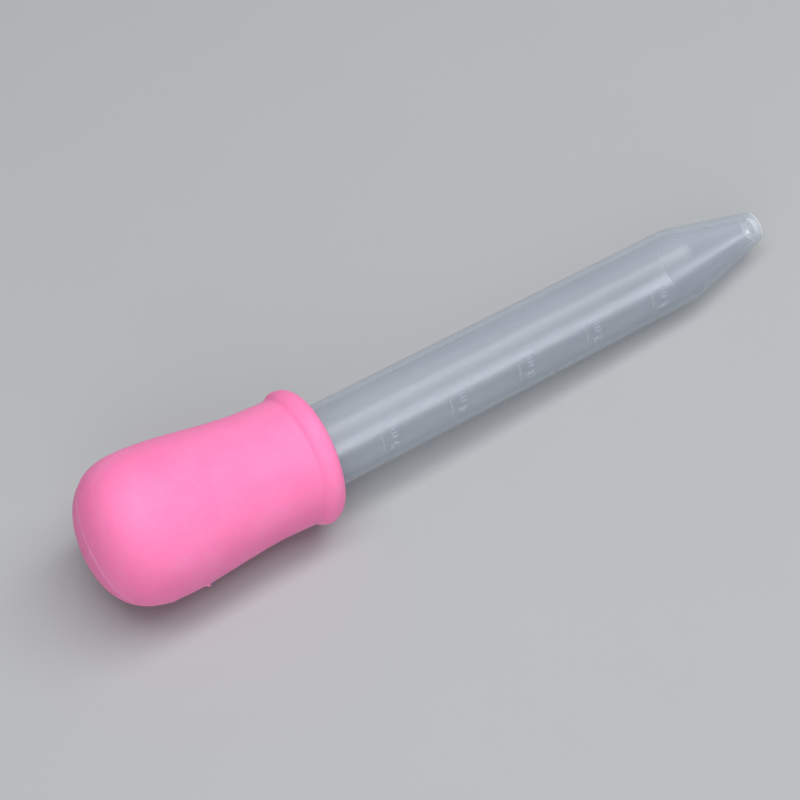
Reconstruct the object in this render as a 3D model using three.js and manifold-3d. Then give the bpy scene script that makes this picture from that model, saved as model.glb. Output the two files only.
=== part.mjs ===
// Medicine dropper, about 5 ml: a silicone squeeze bulb pushed over a tapered, graduated polypropylene barrel.
// Millimetres, +Z up. The dropper lies as it rests on a table: on the collar's bead and the barrel's shoulder.
//
// Everything is drawn in the dropper's own frame first. There +X runs along the axis to the tip, X = 0 is the
// front face of the bulb's collar, and Y and Z are the cross-section. place() then lays it down on the table.
import * as THREE from 'three';
import { mergeVertices } from 'three/addons/utils/BufferGeometryUtils.js';
import Module from 'manifold-3d';

const wasm = await Module();
wasm.setup();
const { Manifold, Mesh: ManifoldMesh } = wasm;

// ---- driving dimensions ----
const SIDES = 64; // facets round every turned shape

// barrel
const INSERT = 14; // length hidden inside the bulb's cuff
const TUBE_LEN = 65.7; // collar face to the shoulder of the cone
const TIP_X = 80.5; // collar face to the tip
const TUBE_R0 = 6.05; // outer radius at the collar
const TUBE_R1 = 5.78; // outer radius at the shoulder, after the moulding draft
const TUBE_WALL = 0.85;
const TIP_R = 2.36; // outer radius of the tip
const TIP_HOLE_R = 1.45;
const TIP_ROUND = 0.4;
const SHOULDER_ROUND = 0.7; // how far the shoulder's rounding reaches each way
const INSERT_CHAMFER = 0.35;

// graduations, moulded proud of the barrel
const MARKS = [
  { x: 7.85, digit: '5' }, { x: 19.75, digit: '4' }, { x: 31.9, digit: '3' },
  { x: 44.15, digit: '2' }, { x: 56.4, digit: '1' },
];
const MARK_ANGLE = 67; // degrees from the top towards the front
const MARK_ARC = 28; // degrees that a line runs round the barrel
const MARK_WIDTH = 0.3;
const MARK_PROUD = 0.16;
const TEXT_HEIGHT = 1.5;
const TEXT_GAP = 0.75; // between a line and its number
const STROKE = 0.26;

// bulb
const COLLAR_R = 10; // bead radius, measured from the axis
const BEAD_R = 2; // radius of the bead's own section
const NECK_R = 9.25;
const WAIST_X = 7.2;
const BELLY_R = 10.9;
const BELLY_X = 26;
const BULB_LEN = 35.6;
const DOME_POWER = 2.5; // 2 is an ellipse, and more is squarer
const BULB_WALL = 1.3;
const BORE_R = 6.35; // 0.3 mm clear of the barrel all round
const CUFF_DEPTH = 14.5;
const BORE_LIP = 0.5;
const PARTING_PROUD = 0.1; // ridge where the mould's two halves met
const PARTING_WIDTH = 0.4;

// the two thumb-and-finger areas of the bulb's wall
const PINCH_ANGLE = 30.7; // degrees from the top towards the front, square to the mould's parting plane
const PINCH_X = -23.9; // centre of the area
const PINCH_HALF_LEN = 7.4;
const PINCH_HALF_WIDTH = 6.5;
const PINCH_CORNER = 4.2;
const GAP = 0.3;

const rad = THREE.MathUtils.degToRad;

// ---- helpers ----
function toManifold(geometry) {
  const bare = new THREE.BufferGeometry();
  bare.setAttribute('position', geometry.getAttribute('position').clone());
  bare.setIndex(geometry.index ? geometry.index.clone() : null);
  const welded = mergeVertices(bare, 1e-5);
  const index = Array.from(welded.index.array);
  const kept = [];
  for (let i = 0; i < index.length; i += 3) {
    const [a, b, c] = [index[i], index[i + 1], index[i + 2]];
    if (a !== b && b !== c && c !== a) kept.push(a, b, c);
  }
  const mesh = new ManifoldMesh({
    numProp: 3,
    vertProperties: new Float32Array(welded.getAttribute('position').array),
    triVerts: new Uint32Array(kept),
  });
  return new Manifold(mesh);
}

function toGeometry(solid) {
  const mesh = solid.getMesh();
  const geometry = new THREE.BufferGeometry();
  geometry.setAttribute('position', new THREE.BufferAttribute(new Float32Array(mesh.vertProperties), 3));
  geometry.setIndex(new THREE.BufferAttribute(new Uint32Array(mesh.triVerts), 1));
  geometry.computeVertexNormals();
  return geometry;
}

// A ring turned round the X axis from a closed section of [x, r] points, with a flat of the polygon at the bottom.
function turned(section) {
  const loop = section.concat([section[0]]).map(([x, r]) => new THREE.Vector2(r, x));
  const area = section.reduce((sum, [x, r], i) => {
    const [x2, r2] = section[(i + 1) % section.length];
    return sum + x * r2 - x2 * r;
  }, 0);
  if (area > 0) loop.reverse();
  const geometry = new THREE.LatheGeometry(loop, SIDES, Math.PI / SIDES, 2 * Math.PI);
  geometry.rotateZ(-Math.PI / 2);
  return toManifold(geometry);
}

// Direction across the axis at an angle from the top (+Z) towards the front (-Y).
const across = (deg) => new THREE.Vector3(0, -Math.sin(rad(deg)), Math.cos(rad(deg)));

// Basis that sets a flat shape's X round the barrel, its Y towards the bulb and its Z outwards, at an angle.
function onBarrel(x, radius, deg) {
  const out = across(deg);
  const up = new THREE.Vector3(-1, 0, 0);
  const side = new THREE.Vector3().crossVectors(up, out);
  return new THREE.Matrix4().makeBasis(side, up, out).setPosition(out.clone().multiplyScalar(radius).setX(x));
}

const lerp = (a, b, t) => a + (b - a) * t;

// ---- barrel ----
const tubeR = (x) => (x < 0 ? TUBE_R0 : lerp(TUBE_R0, TUBE_R1, x / TUBE_LEN));

// Rounds the corner at `at` of an [x, r] line with a curve that reaches `reach` along both sides.
function rounded(before, at, after, reach, steps) {
  const corner = new THREE.Vector2(...at);
  const start = new THREE.Vector2(...before).sub(corner).setLength(reach).add(corner);
  const end = new THREE.Vector2(...after).sub(corner).setLength(reach).add(corner);
  const curve = new THREE.QuadraticBezierCurve(start, corner, end);
  return curve.getPoints(steps).map((p) => [p.x, p.y]);
}

function barrelSection() {
  const shoulder = [TUBE_LEN, TUBE_R1];
  const tip = [TIP_X, TIP_R];
  const innerShoulder = [TUBE_LEN - 0.2, TUBE_R1 - TUBE_WALL];
  const innerTip = [TIP_X, TIP_HOLE_R];
  return [
    [-INSERT, TUBE_R0 - INSERT_CHAMFER],
    [-INSERT + 2 * INSERT_CHAMFER, TUBE_R0],
    [0, TUBE_R0],
    [TUBE_LEN / 2, lerp(TUBE_R0, TUBE_R1, 0.5)],
    ...rounded([0, TUBE_R0], shoulder, tip, SHOULDER_ROUND, 6),
    ...rounded(shoulder, tip, [TIP_X, 0], TIP_ROUND, 5),
    ...rounded([TIP_X, TIP_R], innerTip, innerShoulder, 0.15, 2),
    ...rounded(innerTip, innerShoulder, [-INSERT, TUBE_R0 - TUBE_WALL], SHOULDER_ROUND, 4),
    [-INSERT, TUBE_R0 - TUBE_WALL],
  ];
}

// Stroke letters on a grid 1 unit high, baseline at 0. Each is a list of lines.
const arc = (cx, cy, rx, ry, from, to, steps) => Array.from({ length: steps + 1 }, (_, i) => {
  const a = rad(lerp(from, to, i / steps));
  return [cx + rx * Math.cos(a), cy + ry * Math.sin(a)];
});
const LETTERS = {
  1: { width: 0.3, lines: [[[0, 0.78], [0.3, 1], [0.3, 0]]] },
  2: { width: 0.56, lines: [[...arc(0.28, 0.72, 0.28, 0.28, 165, -30, 5), [0, 0], [0.56, 0]]] },
  3: { width: 0.54, lines: [[...arc(0.27, 0.75, 0.25, 0.25, 160, -80, 5), ...arc(0.27, 0.26, 0.27, 0.26, 80, -160, 5)]] },
  4: { width: 0.6, lines: [[[0.44, 0], [0.44, 1], [0, 0.3], [0.6, 0.3]]] },
  5: { width: 0.56, lines: [[[0.5, 1], [0.08, 1], [0.04, 0.55], ...arc(0.26, 0.32, 0.3, 0.32, 115, -150, 6)]] },
  m: { width: 0.72, lines: [
    [[0, 0], [0, 0.66]],
    [...arc(0.18, 0.48, 0.18, 0.18, 180, 0, 4), [0.36, 0]],
    [...arc(0.54, 0.48, 0.18, 0.18, 180, 0, 4), [0.72, 0]],
  ] },
  l: { width: 0.02, lines: [[[0, 0], [0, 1]]] },
};
const LETTER_GAP = 0.3;
const WORD_GAP = 0.5;

function strokes(x, digit) {
  const word = [[digit, WORD_GAP], ['m', LETTER_GAP], ['l', 0]];
  const width = word.reduce((sum, [c, gap]) => sum + LETTERS[c].width + gap, 0);
  const baseline = x + MARK_WIDTH / 2 + TEXT_GAP + TEXT_HEIGHT;
  const out = [];
  let left = -width / 2;
  for (const [c, gap] of word) {
    for (const line of LETTERS[c].lines) {
      for (let i = 1; i < line.length; i += 1) {
        const [a, b] = [line[i - 1], line[i]].map(([u, v]) => [(left + u) * TEXT_HEIGHT, v * TEXT_HEIGHT]);
        const mid = [(a[0] + b[0]) / 2, (a[1] + b[1]) / 2];
        const length = Math.hypot(b[0] - a[0], b[1] - a[1]) + STROKE * 0.8;
        const box = new THREE.BoxGeometry(length, STROKE, MARK_PROUD + 0.4);
        box.rotateZ(Math.atan2(b[1] - a[1], b[0] - a[0]));
        box.translate(0, 0, (MARK_PROUD - 0.4) / 2);
        const at = baseline - mid[1];
        const turn = THREE.MathUtils.radToDeg(mid[0] / tubeR(at));
        box.applyMatrix4(onBarrel(at, tubeR(at), MARK_ANGLE - turn));
        out.push(toManifold(box));
      }
    }
    left += LETTERS[c].width + gap;
  }
  return out;
}

function markLine(x) {
  const r = tubeR(x);
  const half = MARK_WIDTH / 2;
  const ring = turned([
    [x - half, r - 0.4], [x - half, r + MARK_PROUD * 0.5], [x - half * 0.5, r + MARK_PROUD],
    [x + half * 0.5, r + MARK_PROUD], [x + half, r + MARK_PROUD * 0.5], [x + half, r - 0.4],
  ]);
  const chord = 2 * r * Math.sin(rad(MARK_ARC / 2));
  const keep = new THREE.BoxGeometry(chord, 2, 4);
  keep.applyMatrix4(onBarrel(x, r, MARK_ANGLE));
  return ring.intersect(toManifold(keep));
}

function barrel() {
  const raised = MARKS.flatMap(({ x, digit }) => [markLine(x), ...strokes(x, digit)]);
  return Manifold.union([turned(barrelSection()), ...raised]);
}

// ---- bulb ----
// Radius of the bulb's skin at a distance behind the collar's face, beyond the bead.
function skinR(back) {
  if (back <= WAIST_X) return NECK_R;
  if (back <= BELLY_X) return NECK_R + (BELLY_R - NECK_R) * THREE.MathUtils.smoothstep(back, WAIST_X, BELLY_X);
  const t = (back - BELLY_X) / (BULB_LEN - BELLY_X);
  return BELLY_R * (1 - Math.min(t, 1) ** DOME_POWER) ** (1 / DOME_POWER);
}

function skinLine() {
  const line = [];
  for (let i = 0; i <= 10; i += 1) line.push(lerp(WAIST_X, BELLY_X, i / 10));
  const dome = 14;
  for (let i = 1; i <= dome; i += 1) {
    line.push(BELLY_X + (BULB_LEN - BELLY_X) * Math.sin((Math.PI / 2) * (i / dome)) ** 0.8);
  }
  return line.map((back) => [-back, skinR(back)]);
}

// The skin's line moved inwards by a distance, or outwards by a negative one.
function skinInset(by) {
  const skin = skinLine();
  const line = skin.map(([x, r], i) => {
    const a = skin[Math.max(i - 1, 0)];
    const b = skin[Math.min(i + 1, skin.length - 1)];
    const along = new THREE.Vector2(b[0] - a[0], b[1] - a[1]).normalize();
    return [x - along.y * by, r + along.x * by];
  });
  line[line.length - 1] = [-(BULB_LEN - by), 0];
  return line;
}

// The cavity follows the skin one wall inside it, from the cuff's inner end to the dome.
function cavityLine() {
  const inside = skinInset(BULB_WALL);
  const start = -CUFF_DEPTH - 2.2;
  return [[-CUFF_DEPTH, BORE_R], [start, skinR(-start) - BULB_WALL], ...inside.filter(([x]) => x < start - 0.6)];
}

function bulbSolid() {
  const bead = [];
  const back = Math.PI - Math.asin((NECK_R - (COLLAR_R - BEAD_R)) / BEAD_R);
  for (let i = 0; i <= 9; i += 1) {
    const k = lerp(0, back, i / 9);
    bead.push([-BEAD_R * (1 - Math.cos(k)), COLLAR_R - BEAD_R + BEAD_R * Math.sin(k)]);
  }
  const lip = rounded([-CUFF_DEPTH, BORE_R], [0, BORE_R], [0, COLLAR_R], BORE_LIP, 3);
  return turned([...lip, ...bead, ...skinLine(), ...cavityLine().reverse()]);
}

// The low ridge that runs round the bulb in the mould's parting plane.
function partingRidge() {
  const hoop = turned([...skinInset(-PARTING_PROUD), ...skinInset(BULB_WALL / 2).reverse()]);
  const slab = new THREE.BoxGeometry(2 * BULB_LEN, 3 * BELLY_R, PARTING_WIDTH);
  slab.translate(-BULB_LEN, 0, 0);
  slab.rotateX(rad(PINCH_ANGLE));
  return hoop.intersect(toManifold(slab));
}

// A straight-sided plug across the bulb's wall at one pinch area. `side` is 1 for the near one and -1 for the other.
function plug(side, shrink) {
  const a = PINCH_HALF_LEN - shrink;
  const b = PINCH_HALF_WIDTH - shrink;
  const c = PINCH_CORNER - shrink;
  const shape = new THREE.Shape();
  shape.moveTo(-a + c, -b);
  shape.lineTo(a - c, -b).absarc(a - c, -b + c, c, -Math.PI / 2, 0, false);
  shape.lineTo(a, b - c).absarc(a - c, b - c, c, 0, Math.PI / 2, false);
  shape.lineTo(-a + c, b).absarc(-a + c, b - c, c, Math.PI / 2, Math.PI, false);
  shape.lineTo(-a, -b + c).absarc(-a + c, -b + c, c, Math.PI, 1.5 * Math.PI, false);
  const geometry = new THREE.ExtrudeGeometry(shape, { depth: 12, bevelEnabled: false, curveSegments: 8 });
  geometry.translate(0, 0, 2);
  const out = across(PINCH_ANGLE).multiplyScalar(side);
  const along = new THREE.Vector3(1, 0, 0);
  const basis = new THREE.Matrix4().makeBasis(along, new THREE.Vector3().crossVectors(out, along), out);
  geometry.applyMatrix4(basis.setPosition(PINCH_X, 0, 0));
  return toManifold(geometry);
}

// ---- assembly ----
const bulb = bulbSolid().add(partingRidge());
const shell = bulb.subtract(plug(1, 0)).subtract(plug(-1, 0));
const nearWall = bulb.intersect(plug(1, GAP));
const farWall = bulb.intersect(plug(-1, GAP));

// Tilt at which the collar's round bead and the barrel's shoulder touch one flat table.
const beadCentre = new THREE.Vector2(-BEAD_R, COLLAR_R - BEAD_R);
const shoulderX = TUBE_LEN - SHOULDER_ROUND;
const span = new THREE.Vector2(shoulderX, tubeR(shoulderX)).sub(beadCentre);
const tilt = Math.atan2(-span.y, span.x) + Math.asin(BEAD_R / span.length());

const silicone = () => new THREE.MeshStandardMaterial({ color: 0xf2749f, roughness: 0.55, metalness: 0 });
const polypropylene = () => new THREE.MeshStandardMaterial({ color: 0xb9c4cc, roughness: 0.35, metalness: 0 });

const group = new THREE.Group();
group.name = 'medicine_dropper';

function add(name, solid, material) {
  const geometry = toGeometry(solid);
  geometry.rotateY(tilt);
  const mesh = new THREE.Mesh(geometry, material);
  mesh.name = name;
  group.add(mesh);
}

add('barrel', barrel(), polypropylene());
add('bulb_shell', shell, silicone());
add('bulb_wall_near', nearWall, silicone());
add('bulb_wall_far', farWall, silicone());

// Lay it on Z = 0 with the middle of its outline over the origin.
const bounds = new THREE.Box3().setFromObject(group);
const centre = bounds.getCenter(new THREE.Vector3());
for (const mesh of group.children) mesh.geometry.translate(-centre.x, -centre.y, -bounds.min.z);

export default group;
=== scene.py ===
import math

import bpy
from mathutils import Matrix, Vector


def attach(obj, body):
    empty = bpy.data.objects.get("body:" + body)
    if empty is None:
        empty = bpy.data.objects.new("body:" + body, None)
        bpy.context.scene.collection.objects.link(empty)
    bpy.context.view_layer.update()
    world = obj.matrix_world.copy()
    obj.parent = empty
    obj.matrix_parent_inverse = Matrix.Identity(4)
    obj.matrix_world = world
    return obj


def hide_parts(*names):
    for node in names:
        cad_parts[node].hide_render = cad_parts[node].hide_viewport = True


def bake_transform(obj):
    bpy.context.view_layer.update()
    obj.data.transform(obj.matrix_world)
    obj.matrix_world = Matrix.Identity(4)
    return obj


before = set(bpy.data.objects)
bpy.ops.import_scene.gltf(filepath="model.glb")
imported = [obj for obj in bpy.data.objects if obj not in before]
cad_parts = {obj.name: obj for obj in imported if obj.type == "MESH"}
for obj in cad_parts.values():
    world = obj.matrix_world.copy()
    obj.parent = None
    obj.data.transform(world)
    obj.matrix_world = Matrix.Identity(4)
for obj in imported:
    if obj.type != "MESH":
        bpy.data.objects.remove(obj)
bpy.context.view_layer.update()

# Sizes are in millimetres in the dropper's own frame: +X along the axis to the tip, X = 0 at the collar's
# face, Y and Z across. to_world() lays the dropper on the table in the shared frame, in metres.
TILT = math.radians(3.605)
ORIGIN = Vector((-22.406, 0.0, 9.862))
LAY = Matrix.Translation(ORIGIN) @ Matrix.Rotation(TILT, 4, "Y")

# barrel
INSERT, TUBE_LEN, TIP_X = 14.0, 65.7, 80.5
TUBE_R0, TUBE_R1, TUBE_WALL = 6.05, 5.78, 0.85
TIP_R, TIP_HOLE_R, TIP_ROUND, SHOULDER_ROUND = 2.36, 1.45, 0.42, 0.75
MARKS = ((7.85, "5"), (19.75, "4"), (31.9, "3"), (44.15, "2"), (56.4, "1"))
MARK_ANGLE = 67.0
MARK_HALF, MARK_WIDTH, MARK_PROUD = 1.45, 0.15, 0.16
NUMBER_SIZE, NUMBER_SETBACK, NUMBER_PROUD, NUMBER_BEVEL = 2.05, 2.45, 0.09, 0.035

# bulb
COLLAR_R, BEAD_R, NECK_R = 10.0, 2.0, 9.25
WAIST_X, BELLY_X, BELLY_R = 7.2, 26.0, 10.9
BULB_LEN, DOME_POWER, BULB_WALL = 35.6, 2.5, 1.3
BORE_R, CUFF_DEPTH = 6.12, 14.5
PARTING_ANGLE = 120.7  # where the mould's two halves met, from the top towards the front
SKEW = math.radians(4.0)  # the soft bulb sits askew on the barrel, its dome end turned away
SKEW_X = -1.0
# how far the parting line passes from the dome's pole, and how much smaller than the belly the dome is there
DOME_ASIDE, ASIDE_REACH = 1.6, 7.5
RIDGE_PROUD, RIDGE_WIDTH, FLASH_WIDTH = 0.09, 0.2, 0.14
# tags of flash on the lower parting line: place along the bulb, height and half length
FLASH_TAGS = ((-22.0, 0.36, 0.26), (-3.4, 0.2, 0.3), (-27.5, 0.1, 0.6))
FLASH_ROWS = [21.7, 21.85, 22.0, 22.3]  # extra rows of the mesh, for the narrow tag


def to_world(p):
    return (LAY @ Vector(p)) / 1000.0


def lerp(a, b, t):
    return a + (b - a) * t


def smooth(t):
    t = min(max(t, 0.0), 1.0)
    return t * t * (3 - 2 * t)


def across(deg):
    """Direction across the axis, at an angle from the top towards the front."""
    return Vector((0, -math.sin(math.radians(deg)), math.cos(math.radians(deg))))


def make(name, points, faces, material, smooth_shade=True, own=None):
    """A mesh object from points in the dropper's frame. Materials read them, or those in own, as own_mm."""
    mesh = bpy.data.meshes.new(name)
    mesh.from_pydata([to_world(p) for p in points], [], faces)
    mesh.validate()
    rest = mesh.attributes.new("own_mm", "FLOAT_VECTOR", "POINT")
    rest.data.foreach_set("vector", [c for p in own or points for c in p])
    mesh.materials.append(material)
    mesh.shade_smooth() if smooth_shade else mesh.shade_flat()
    obj = bpy.data.objects.new(name, mesh)
    bpy.context.scene.collection.objects.link(obj)
    return obj


# ---------------------------------------------------------------- materials
class Nodes:
    """Builds one node tree with short calls."""

    def __init__(self, name):
        self.material = bpy.data.materials.new(name)
        self.material.use_nodes = True
        self.tree = self.material.node_tree
        self.shader = self.tree.nodes["Principled BSDF"]
        self.own = self.tree.nodes.new("ShaderNodeAttribute")
        self.own.attribute_name = "own_mm"
        self.place = self.own.outputs["Vector"]

    def add(self, kind, **inputs):
        node = self.tree.nodes.new(kind)
        for key, value in inputs.items():
            self.put(node.inputs[key.replace("_", " ")], value)
        return node

    def put(self, socket, value):
        if isinstance(value, bpy.types.NodeSocket):
            self.tree.links.new(value, socket)
        else:
            socket.default_value = value

    def set(self, **inputs):
        for key, value in inputs.items():
            self.put(self.shader.inputs[key.replace("_", " ")], value)

    def stretched(self, scale):
        node = self.tree.nodes.new("ShaderNodeMapping")
        self.put(node.inputs["Vector"], self.place)
        node.inputs["Scale"].default_value = scale
        return node.outputs["Vector"]

    def noise(self, scale, detail=3.0, roughness=0.55, vector=None, distortion=0.0):
        node = self.tree.nodes.new("ShaderNodeTexNoise")
        self.put(node.inputs["Vector"], vector or self.place)
        node.inputs["Scale"].default_value = scale
        node.inputs["Detail"].default_value = detail
        node.inputs["Roughness"].default_value = roughness
        node.inputs["Distortion"].default_value = distortion
        return node.outputs["Fac"]

    def cells(self, scale, feature="F1", vector=None):
        node = self.tree.nodes.new("ShaderNodeTexVoronoi")
        self.put(node.inputs["Vector"], vector or self.place)
        node.feature = feature
        node.inputs["Scale"].default_value = scale
        return node.outputs["Distance"]

    def between(self, value, low, high, to_low=0.0, to_high=1.0):
        node = self.tree.nodes.new("ShaderNodeMapRange")
        self.put(node.inputs["Value"], value)
        node.inputs["From Min"].default_value = low
        node.inputs["From Max"].default_value = high
        node.inputs["To Min"].default_value = to_low
        node.inputs["To Max"].default_value = to_high
        return node.outputs["Result"]

    def maths(self, operation, a, b=0.0):
        node = self.tree.nodes.new("ShaderNodeMath")
        node.operation = operation
        self.put(node.inputs[0], a)
        self.put(node.inputs[1], b)
        return node.outputs[0]

    def mixed(self, factor, a, b):
        node = self.tree.nodes.new("ShaderNodeMix")
        node.data_type = "RGBA"
        self.put(node.inputs["Factor"], factor)
        self.put(node.inputs["A"], a)
        self.put(node.inputs["B"], b)
        return node.outputs["Result"]

    def bump(self, height, distance_mm, strength=1.0, normal=None):
        node = self.tree.nodes.new("ShaderNodeBump")
        node.inputs["Strength"].default_value = strength
        node.inputs["Distance"].default_value = distance_mm / 1000.0
        self.put(node.inputs["Height"], height)
        if normal is not None:
            self.put(node.inputs["Normal"], normal)
        return node.outputs["Normal"]


def silicone(name, pink, deep, pale):
    n = Nodes(name)
    cloud = n.noise(0.11, 3.0, 0.5)
    mottle = n.noise(0.9, 4.0, 0.6)
    colour = n.mixed(n.between(cloud, 0.35, 0.68), pink, deep)
    colour = n.mixed(n.between(mottle, 0.45, 0.8, 0.0, 0.22), colour, pale)
    # pale dust and lint that clings to silicone
    dust = n.between(n.cells(1.15, vector=n.stretched((1.0, 1.25, 0.8))), 0.075, 0.035)
    thin = n.between(n.noise(0.35, 2.0, 0.5), 0.52, 0.66)
    speck = n.maths("MULTIPLY", dust, thin)
    colour = n.mixed(n.maths("MULTIPLY", speck, 0.55), colour, (0.93, 0.80, 0.84, 1.0))
    # painted highlight: the parting line is painted paler than the skin beside it, for the light its ridge
    # catches
    seam = n.tree.nodes.new("ShaderNodeAttribute")
    seam.attribute_name = "seam_mm"
    rub_wear_and_painted_highlight = n.between(seam.outputs["Fac"], 0.26, 0.06)
    rub_wear_and_painted_highlight = n.maths("MULTIPLY", rub_wear_and_painted_highlight, n.between(n.noise(0.5, 3.0, 0.6), 0.35, 0.6, 0.4, 1.0))
    colour = n.mixed(n.maths("MULTIPLY", rub_wear_and_painted_highlight, 0.55), colour, (1.0, 0.47, 0.68, 1.0))
    n.set(Base_Color=colour)
    grain = n.noise(7.0, 5.0, 0.65)
    fine = n.noise(26.0, 3.0, 0.6)
    swirl = n.noise(0.45, 3.0, 0.5, distortion=0.6)
    rough = n.between(n.maths("ADD", grain, n.maths("MULTIPLY", swirl, 0.8)), 0.6, 1.2, 0.47, 0.66)
    n.set(Roughness=rough)
    height = n.maths("ADD", n.maths("MULTIPLY", grain, 0.6), n.maths("MULTIPLY", fine, 0.4))
    normal = n.bump(height, 0.035, 0.55)
    normal = n.bump(speck, 0.03, 0.5, normal)
    n.set(Normal=normal)
    n.shader.inputs["IOR"].default_value = 1.41
    n.shader.inputs["Specular IOR Level"].default_value = 0.32
    n.shader.inputs["Subsurface Weight"].default_value = 0.45
    n.shader.inputs["Subsurface Radius"].default_value = (1.0, 0.32, 0.38)
    n.shader.inputs["Subsurface Scale"].default_value = 0.0011
    return n.material


def polypropylene(part, tint, cloudy, haze, gloss, roughness, wavy=0.005):
    """Milky moulded plastic. Part of the light goes straight through each skin, and part scatters in its
    haze, which is denser where the wall is seen edge-on. The skin shines. Haze and gloss are given face-on
    and edge-on, roughness lowest and highest, and wavy is the depth of the long waves in mm."""
    n = Nodes("milky_polypropylene" + part)
    cloud = n.noise(0.22, 3.0, 0.5, vector=n.stretched((0.25, 1.0, 1.0)))
    flow = n.noise(1.6, 4.0, 0.6, vector=n.stretched((0.06, 1.0, 1.0)))
    n.set(Base_Color=n.mixed(n.between(cloud, 0.3, 0.7), tint, cloudy))
    fine = n.noise(14.0, 4.0, 0.6)
    lines = n.noise(5.0, 3.0, 0.6, vector=n.stretched((0.05, 1.0, 1.0)))
    rub_wear_and_painted_highlight = n.noise(0.5, 3.0, 0.55)
    rough = n.between(n.maths("ADD", fine, rub_wear_and_painted_highlight), 0.7, 1.3, *roughness)
    n.set(Roughness=rough)
    wave = n.noise(0.55, 2.0, 0.45, vector=n.stretched((0.35, 1.0, 1.0)))
    normal = n.bump(wave, wavy)
    height = n.maths("ADD", n.maths("MULTIPLY", fine, 0.3), n.maths("MULTIPLY", lines, 0.7))
    normal = n.bump(height, 0.0015, 1.0, normal)
    # a few scuffs from being carried about
    scratches = n.cells(0.8, "DISTANCE_TO_EDGE", vector=n.stretched((0.35, 1.0, 1.0)))
    scuff = n.between(scratches, 0.0, 0.012, 1.0, 0.0)
    patch = n.between(n.noise(0.3, 2.0, 0.5), 0.55, 0.7)
    normal = n.bump(n.maths("MULTIPLY", scuff, patch), 0.012, 0.6, normal)
    n.set(Normal=normal)
    n.shader.inputs["IOR"].default_value = 1.49
    n.shader.inputs["Specular IOR Level"].default_value = 0.0
    weight = n.tree.nodes.new("ShaderNodeLayerWeight")
    weight.inputs["Blend"].default_value = 0.5
    edge = weight.outputs["Facing"]
    uneven = n.between(n.maths("ADD", cloud, flow), 0.7, 1.3, 0.95, 1.05)
    density = n.maths("MULTIPLY", n.between(n.maths("POWER", edge, 2.5), 0.0, 1.0, *haze), uneven)
    through = n.add("ShaderNodeBsdfTransparent", Color=(0.97, 0.98, 1.0, 1.0))
    body = n.tree.nodes.new("ShaderNodeMixShader")
    n.put(body.inputs["Fac"], density)
    n.put(body.inputs[1], through.outputs[0])
    n.put(body.inputs[2], n.shader.outputs[0])
    shine = n.add("ShaderNodeBsdfGlossy", Roughness=rough, Normal=normal)
    skin = n.tree.nodes.new("ShaderNodeMixShader")
    # a skin met from inside the plastic hardly shines
    side = n.tree.nodes.new("ShaderNodeNewGeometry").outputs["Backfacing"]
    strength = n.between(n.maths("POWER", edge, 5.0), 0.0, 1.0, *gloss)
    n.put(skin.inputs["Fac"], n.maths("MULTIPLY", strength, n.between(side, 0.0, 1.0, 1.0, 0.1)))
    n.put(skin.inputs[1], body.outputs[0])
    n.put(skin.inputs[2], shine.outputs[0])
    n.put(n.tree.nodes["Material Output"].inputs["Surface"], skin.outputs[0])
    return n.material


def plain(name, colour, rough):
    n = Nodes(name)
    geometry = n.tree.nodes.new("ShaderNodeNewGeometry")
    n.place = geometry.outputs["Position"]
    soft = n.noise(60.0, 2.0, 0.5)
    darker = tuple(c * 0.97 for c in colour[:3]) + (1.0,)
    n.set(Base_Color=n.mixed(n.between(soft, 0.3, 0.7, 0.0, 0.25), colour, darker))
    n.set(Roughness=rough)
    return n.material


SILICONE = silicone("pink_silicone", (0.97, 0.235, 0.485, 1), (0.94, 0.20, 0.44, 1), (0.98, 0.32, 0.56, 1))
MILK, CLOUD = (0.47, 0.53, 0.59, 1), (0.52, 0.58, 0.64, 1)
PLASTIC = polypropylene("", MILK, CLOUD, (0.20, 0.75), (0.031, 0.8), (0.26, 0.32))
BORE = polypropylene("_bore", MILK, CLOUD, (0.13, 0.3), (0.42, 0.30), (0.34, 0.40), 0.012)
CONE_BORE = polypropylene("_cone_bore", MILK, CLOUD, (0.13, 0.3), (0.24, 0.3), (0.36, 0.42), 0.012)
# painted highlight: the tip's rim gets a much paler milk and denser haze than the barrel, for the bright
# ring round the tip's hole
RIM = polypropylene(
    "_rim", (0.86, 0.88, 0.90, 1), (0.89, 0.90, 0.92, 1), (0.62, 0.95), (0.14, 0.8), (0.14, 0.22)
)
END = polypropylene(
    "_end", (0.66, 0.71, 0.76, 1), (0.71, 0.75, 0.80, 1), (0.34, 0.8), (0.09, 0.5), (0.24, 0.32)
)
# painted highlight: the raised marks and numbers get a paler milk than the barrel, so they read bright as if
# catching the light
RAISED = polypropylene(
    "_marks", (0.57, 0.625, 0.68, 1), (0.63, 0.68, 0.73, 1), (0.22, 0.7), (0.06, 0.8), (0.2, 0.3)
)
FLOOR = plain("table", (0.39, 0.40, 0.41, 1.0), 0.75)


# ---------------------------------------------------------------- barrel
def bend_corner(before, at, after, reach, steps):
    """Points that round a corner of an (x, r) line, with a curve that reaches that far along both sides."""
    corner = Vector(at)
    a = corner + (Vector(before) - corner).normalized() * reach
    b = corner + (Vector(after) - corner).normalized() * reach
    turns = [i / steps for i in range(steps + 1)]
    return [tuple(a * (1 - t) ** 2 + corner * 2 * t * (1 - t) + b * t * t) for t in turns]


def on_line(a, b, from_x, to_x, steps=6):
    """Points on the straight (x, r) line through a and b, from one x to another."""
    xs = [lerp(from_x, to_x, i / steps) for i in range(steps + 1)]
    return [(x, lerp(a[1], b[1], (x - a[0]) / (b[0] - a[0]))) for x in xs]


def tube_r(x):
    return TUBE_R0 if x < 0 else lerp(TUBE_R0, TUBE_R1, x / TUBE_LEN)


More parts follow.
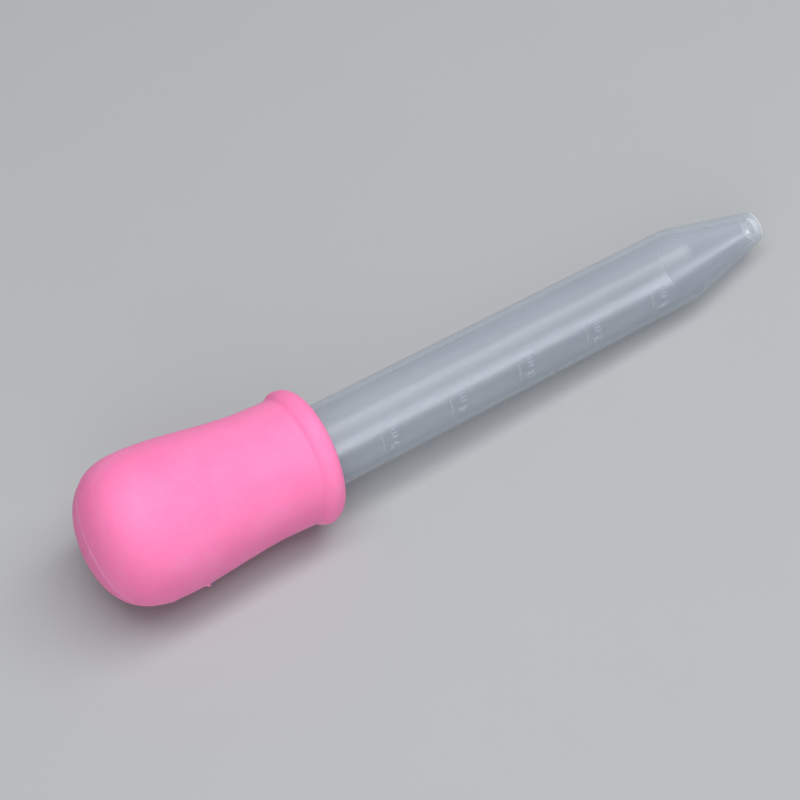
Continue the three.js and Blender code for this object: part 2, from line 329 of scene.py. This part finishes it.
def turned(section, sides):
    """Points and faces of a closed section of (x, r) points turned round the X axis."""
    points, faces = [], []
    count = len(section)
    for i in range(sides):
        a = 2 * math.pi * i / sides
        points += [(x, -r * math.sin(a), r * math.cos(a)) for x, r in section]
    for i in range(sides):
        for j in range(count):
            a, b = i * count + j, i * count + (j + 1) % count
            c, d = ((i + 1) % sides) * count + (j + 1) % count, ((i + 1) % sides) * count + j
            faces.append((a, d, c, b))
    return points, faces


bore_r = TUBE_R0 - TUBE_WALL
shoulder, tip = (TUBE_LEN, TUBE_R1), (TIP_X, TIP_R)
inner_shoulder, inner_tip = (TUBE_LEN - 0.2, TUBE_R1 - TUBE_WALL), (TIP_X, TIP_HOLE_R)
inner_end, end_edge, end_chamfer = (-INSERT, bore_r), (-INSERT, TUBE_R0 - 0.35), (-INSERT + 0.7, TUBE_R0)

# The section goes along the outside to the tip and back along the bore, with the material of each stretch.
stretches = (
    (END, bend_corner(inner_end, end_edge, end_chamfer, 0.09, 3)),
    (END, bend_corner(end_edge, end_chamfer, (0, TUBE_R0), 0.15, 3)),
    (PLASTIC, [(-INSERT + 1.2, TUBE_R0)] + [(x, tube_r(x)) for x in range(-12, 64, 3)]),
    (PLASTIC, bend_corner((0, TUBE_R0), shoulder, tip, SHOULDER_ROUND, 10)),
    (PLASTIC, on_line(shoulder, tip, TUBE_LEN + 1.6, TIP_X - 0.8)),
    (RIM, bend_corner(shoulder, tip, (TIP_X, 0), TIP_ROUND, 8)),
    (RIM, bend_corner((TIP_X, TIP_R), inner_tip, inner_shoulder, 0.16, 4)),
    (CONE_BORE, on_line(inner_tip, inner_shoulder, TIP_X - 1, TUBE_LEN + 1.4)),
    (BORE, bend_corner(inner_tip, inner_shoulder, (-INSERT, bore_r), SHOULDER_ROUND, 8)),
    (BORE, [(x, tube_r(x) - TUBE_WALL) for x in range(62, -12, -3)]),
    (BORE, [(-INSERT + 1.0, bore_r), (-INSERT + 0.4, bore_r)]),
    (END, bend_corner((0, bore_r), inner_end, end_edge, 0.12, 3)),
)
section = [point for skin, points in stretches for point in points]
skins = [skin.name for skin, points in stretches for point in points]
barrel = make("barrel_moulding", *turned(section, 160), PLASTIC)
for skin in (BORE, RIM, CONE_BORE, END):
    barrel.data.materials.append(skin)
slots = {skin.name: i for i, skin in enumerate(barrel.data.materials)}
for face in barrel.data.polygons:
    face.material_index = slots[skins[face.index % len(section)]]
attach(barrel, "barrel")
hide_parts("barrel")


# ---------------------------------------------------------------- graduations
def wrap(points, x, proud_from):
    """Flat points (u round the barrel, v towards the bulb, w outwards) laid on it at the marks' angle."""
    out = []
    for u, v, w in points:
        at = x - v
        r = tube_r(at)
        side = across(MARK_ANGLE - math.degrees(u / r))
        out.append(tuple(Vector((at, 0, 0)) + side * (r + proud_from + w)))
    return out


def mark_line(x):
    """One graduation line: a low rounded rib with tapered ends."""
    points, faces = [], []
    steps, ring = 28, 7
    for i in range(steps + 1):
        u = lerp(-MARK_HALF, MARK_HALF, i / steps)
        end = math.sqrt(max(0.0, 1 - abs(u / MARK_HALF) ** 6))
        for j in range(ring):
            a = math.pi * j / (ring - 1)
            points.append((u, MARK_WIDTH * end * math.cos(a), MARK_PROUD * end * math.sin(a) - 0.03))
    for i in range(steps):
        for j in range(ring - 1):
            a = i * ring + j
            faces.append((a, a + 1, a + ring + 1, a + ring))
        faces.append((i * ring, (i + 1) * ring, (i + 1) * ring + ring - 1, i * ring + ring - 1))
    return make(f"graduation_{x:.0f}", wrap(points, x, 0.0), faces, RAISED)


def number(x, text):
    """A raised number, read with the tip down."""
    curve = bpy.data.curves.new("number", "FONT")
    curve.body = text
    curve.size = NUMBER_SIZE
    curve.align_x = "CENTER"
    curve.extrude = NUMBER_PROUD
    curve.bevel_depth = NUMBER_BEVEL
    curve.bevel_resolution = 1
    curve.resolution_u = 4
    holder = bpy.data.objects.new("number", curve)
    bpy.context.scene.collection.objects.link(holder)
    bpy.context.view_layer.update()
    mesh = holder.evaluated_get(bpy.context.evaluated_depsgraph_get()).to_mesh()
    points = [(v.co.x, v.co.y, v.co.z) for v in mesh.vertices]
    faces = [tuple(p.vertices) for p in mesh.polygons]
    holder.to_mesh_clear()
    bpy.data.objects.remove(holder)
    bpy.data.curves.remove(curve)
    points = wrap(points, x + NUMBER_SETBACK, 0.02)
    return make(f"number_{text[0]}", points, faces, RAISED, smooth_shade=False)


for x, digit in MARKS:
    for piece in (mark_line(x), number(x, f"{digit} ml")):
        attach(piece, "barrel")


# ---------------------------------------------------------------- bulb
def skin_r(back):
    if back <= WAIST_X:
        return NECK_R
    if back <= BELLY_X:
        return NECK_R + (BELLY_R - NECK_R) * smooth((back - WAIST_X) / (BELLY_X - WAIST_X))
    t = min((back - BELLY_X) / (BULB_LEN - BELLY_X), 1.0)
    return BELLY_R * (1 - t**DOME_POWER) ** (1 / DOME_POWER)


def dome_back(r):
    """How far behind the collar's face the dome has that radius."""
    return BELLY_X + (BULB_LEN - BELLY_X) * (1 - (r / BELLY_R) ** DOME_POWER) ** (1 / DOME_POWER)


def bulb_section():
    """Lines of (x, r, layer) points along the bulb's wall: from the bore round the lip, then the skin from
    the bead to the pole, then the cavity back to the bore. The skin has layer 1 and what grips the barrel
    has layer 0."""
    lip = [(x, r, 0.0) for x, r in bend_corner((-CUFF_DEPTH, BORE_R), (0, BORE_R), (0, COLLAR_R), 0.45, 4)]
    lip.append((0.0, 7.3, 0.4))
    back = math.pi - math.asin((NECK_R + 0.08 - (COLLAR_R - BEAD_R)) / BEAD_R)
    skin = []
    for i in range(17):
        k = back * i / 16
        skin.append((-BEAD_R * (1 - math.cos(k)), COLLAR_R - BEAD_R + BEAD_R * math.sin(k)))
    crease = skin[-1][0]
    skin += [(crease - 0.12, NECK_R + 0.02)] + [(crease - d, NECK_R) for d in (0.35, 0.8, 1.6)]
    backs = sorted([lerp(-crease + 2.4, BELLY_X, i / 26) for i in range(27)] + FLASH_ROWS)
    backs += [BELLY_X + (BULB_LEN - BELLY_X) * math.sin(math.pi / 2 * i / 34) ** 0.85 for i in range(1, 34)]
    outer = [(-b, skin_r(b)) for b in backs]
    skin += outer + [(-dome_back(r), r) for r in (0.5, 0.25, 0.0)]
    inner = []
    for i, (x, r) in enumerate(outer):
        if x > -CUFF_DEPTH - 2.6 or i % 2:
            continue
        ahead, behind = outer[min(i + 1, len(outer) - 1)], outer[max(i - 1, 0)]
        along = Vector((ahead[0] - behind[0], ahead[1] - behind[1])).normalized()
        inner.append((x - along.y * BULB_WALL, max(r + along.x * BULB_WALL, 0.0)))
    inner = [p for p in inner if p[1] > 0.6] + [(-(BULB_LEN - BULB_WALL), 0.0)]
    cavity = [(x, r, 1.0) for x, r in reversed(inner)]
    cavity += [(-CUFF_DEPTH - 0.3, 6.9, 0.5), (-CUFF_DEPTH, BORE_R + 0.3, 0.0)]
    cavity += [(-CUFF_DEPTH + 0.3, BORE_R, 0.0), (-8.0, BORE_R, 0.0)]
    return lip, [(x, r, 1.0) for x, r in skin], cavity


def skewed(p, layer):
    """The bulb leans a little to one side on the barrel, while its bore stays round the barrel."""
    lean = SKEW * layer
    dx = p[0] - SKEW_X
    c, s = math.cos(lean), math.sin(lean)
    return (SKEW_X + dx * c + p[1] * s, p[1] * c - dx * s, p[2])


def parting_ridge(x, off_plane, side):
    """How proud the skin stands at that distance from the parting line, at its side 1 below or -1 above."""
    uneven = 0.75 + 0.25 * math.sin(x * 1.3 + side) * math.sin(x * 0.47 + 2.0 * side)
    height = RIDGE_PROUD * uneven * math.exp(-((off_plane / RIDGE_WIDTH) ** 2))
    if side > 0:
        for at, size, length in FLASH_TAGS:
            near = math.exp(-(((x - at) / length) ** 2))
            height += size * near * math.exp(-((off_plane / FLASH_WIDTH) ** 2))
    return height


def on_skin(x, spoke, proud):
    """A point of the skin, that far proud of it. Over the dome the parting line and all beside it pass aside
    of the pole, within the same surface."""
    if x > -BELLY_X:
        return Vector((x, 0, 0)) + spoke * (1 + proud / spoke.length)
    aside = DOME_ASIDE * smooth((BELLY_R - spoke.length) / ASIDE_REACH)
    spoke = spoke + across(PARTING_ANGLE - 90) * aside
    r = min(spoke.length, BELLY_R)
    back = dome_back(r)
    depth = BULB_LEN - BELLY_X
    normal = Vector((-(((back - BELLY_X) / depth) ** (DOME_POWER - 1)) / depth, 0, 0))
    normal += spoke.normalized() * (r / BELLY_R) ** (DOME_POWER - 1) / BELLY_R
    return Vector((-back, 0, 0)) + spoke + normal.normalized() * proud


def half_bulb(sign):
    """One side of the bulb, from the parting line round to the parting line again: points where they are,
    faces, points on a bulb that doesn't lean, and distances from the parting line."""
    # the mesh is finer beside the parting line
    fine = [0.0, 0.35, 0.75, 1.2, 1.8, 2.6, 3.6, 4.8, 6.4, 8.5, 11.0, 14.0]
    turns = fine + [14 + 152 * i / 48 for i in range(1, 48)] + [180 - a for a in reversed(fine)]
    lip, skin, cavity = bulb_section()
    line = lip + skin + cavity
    seam = across(PARTING_ANGLE)
    out = across(PARTING_ANGLE - 90) * sign
    points, own, off, faces, index = [], [], [], [], {}
    for j, (x, r, layer) in enumerate(line):
        for i, turn in enumerate(turns):
            if r == 0.0 and i:
                index[i, j] = index[0, j]
                continue
            a = math.radians(turn)
            spoke = (seam * math.cos(a) + out * math.sin(a)) * r
            p = Vector((x, 0, 0)) + spoke
            if len(lip) <= j < len(lip) + len(skin):
                p = on_skin(x, spoke, parting_ridge(x, r * math.sin(a), 1 if turn < 90 else -1))
            index[i, j] = len(points)
            points.append(skewed(p, layer))
            own.append(tuple(p))
            off.append(r * math.sin(a))
    count = len(line)
    for j in range(count):
        k = (j + 1) % count
        for i in range(len(turns) - 1):
            loop = [index[i, j], index[i + 1, j], index[i + 1, k], index[i, k]]
            loop = [v for n, v in enumerate(loop) if v not in loop[:n]]
            if len(loop) > 2:
                faces.append(tuple(loop if sign > 0 else reversed(loop)))
    return points, faces, own, off


# The bulb is made as two halves, near and far, that meet on the parting line, and each hides the CAD pieces
# it stands for. Nothing here pinches the walls.
for name, sign, body, node in (
    ("bulb_side_near", 1, "wall_near", "bulb_wall_near"),
    ("bulb_side_far", -1, "wall_far", "bulb_wall_far"),
):
    points, faces, own, off = half_bulb(sign)
    half = make(name, points, faces, SILICONE, own=own)
    half.data.attributes.new("seam_mm", "FLOAT", "POINT").data.foreach_set("value", off)
    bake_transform(half)
    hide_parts(node, "bulb_shell")


# ---------------------------------------------------------------- table, light and camera
bpy.ops.mesh.primitive_plane_add(size=4.0, location=(0, 0, 0))
table = bpy.context.object
table.name = "table"
table.data.materials.append(FLOOR)


def softbox(name, place, aim, size, size_y, watts):
    light = bpy.data.lights.new(name, "AREA")
    light.shape = "RECTANGLE"
    light.size, light.size_y, light.energy = size, size_y, watts
    obj = bpy.data.objects.new(name, light)
    bpy.context.scene.collection.objects.link(obj)
    obj.location = place
    back = (Vector(place) - Vector(aim)).normalized()
    long = (Vector((1, 0, 0)) - back * back.x).normalized()
    obj.rotation_euler = Matrix((long, back.cross(long), back)).transposed().to_euler()
    return obj


softbox("key", (0.14, 0.0, 0.60), (0.14, 0, 0), 0.95, 0.17, 2.8)
softbox("front_panel", (0.14, -0.20, 0.58), (0.14, 0, 0), 0.95, 0.24, 1.9)
softbox("fill", (-0.40, -0.50, 0.30), (0, 0, 0), 0.6, 0.5, 1.9)
bpy.context.scene.view_settings.view_transform = "Standard"
world = bpy.data.worlds.new("room")
bpy.context.scene.world = world
world.use_nodes = True
world.node_tree.nodes["Background"].inputs["Color"].default_value = (0.80, 0.84, 0.88, 1)
world.node_tree.nodes["Background"].inputs["Strength"].default_value = 0.25

# The camera stands in front of the bulb's side, well above the table, and looks at the dropper's middle.
AZIMUTH, ELEVATION, DISTANCE = math.radians(35.96), math.radians(50.89), 0.406
right = Vector((math.cos(AZIMUTH), -math.sin(AZIMUTH), 0))
level = Vector((math.sin(AZIMUTH), math.cos(AZIMUTH), 0))
forward = level * math.cos(ELEVATION) - Vector((0, 0, 1)) * math.sin(ELEVATION)
upward = right.cross(forward)
centre = Vector((-0.00243, 0.0, 0.00788))
place = centre - forward * DISTANCE
look = centre - right * 0.00425 - upward * 0.00063
camera_data = bpy.data.cameras.new("camera")
camera_data.sensor_width = 36.0
camera_data.lens = 128.0
camera_data.clip_start = 0.01
camera = bpy.data.objects.new("camera", camera_data)
bpy.context.scene.collection.objects.link(camera)
camera.location = place
forward = (look - place).normalized()
right = (right - forward * right.dot(forward)).normalized()
camera.rotation_euler = Matrix((right, right.cross(forward), -forward)).transposed().to_euler()
bpy.context.scene.camera = camera
